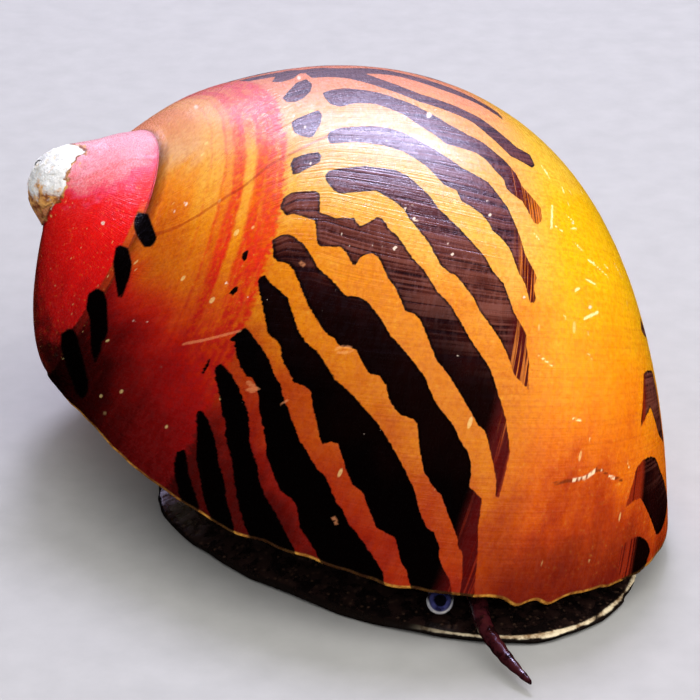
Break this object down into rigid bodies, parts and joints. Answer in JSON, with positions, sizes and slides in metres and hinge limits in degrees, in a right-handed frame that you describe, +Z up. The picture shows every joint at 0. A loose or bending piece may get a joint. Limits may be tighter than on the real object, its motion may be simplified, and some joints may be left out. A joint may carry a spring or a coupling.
{
  "type": "nerite snail",
  "caption": "Life-size still model of a striped nerite snail crawling on its foot under a rounded low-spired shell.",
  "frame": {"origin": "on the floor at the middle of the foot's flat sole", "axes": "+Z up; -Y is the side the picture looks from; the snail heads 35 degrees from +X towards -Y; the shell's apex points to -X and up"},
  "size_m": [0.018, 0.0205, 0.011],
  "materials": {
    "shell": "glossy polished shell, orange with black zigzag stripes",
    "spire": "glossy deep red shell with black dashes at the suture",
    "apex": "chalky, worn to the white layer",
    "deck": "smooth glazed cream",
    "operculum": "satin limy plate",
    "flesh": "wet dark mottled skin with a cream foot margin",
    "eye": "glossy black in a pale cup"
  },
  "bodies": {
    "root": {"shell_body_whorl": "shell", "shell_spire": "spire", "shell_apex": "apex", "columella_deck": "deck", "operculum": "operculum", "mantle": "flesh", "foot": "flesh", "head": "flesh", "eyestalk_right": "flesh", "eyestalk_left": "flesh", "eye_right": "eye", "eye_left": "eye", "tentacle_right_base": "flesh", "tentacle_right_mid": "flesh", "tentacle_right_tip": "flesh", "tentacle_left_base": "flesh", "tentacle_left_mid": "flesh", "tentacle_left_tip": "flesh"}
  },
  "joints": []
}
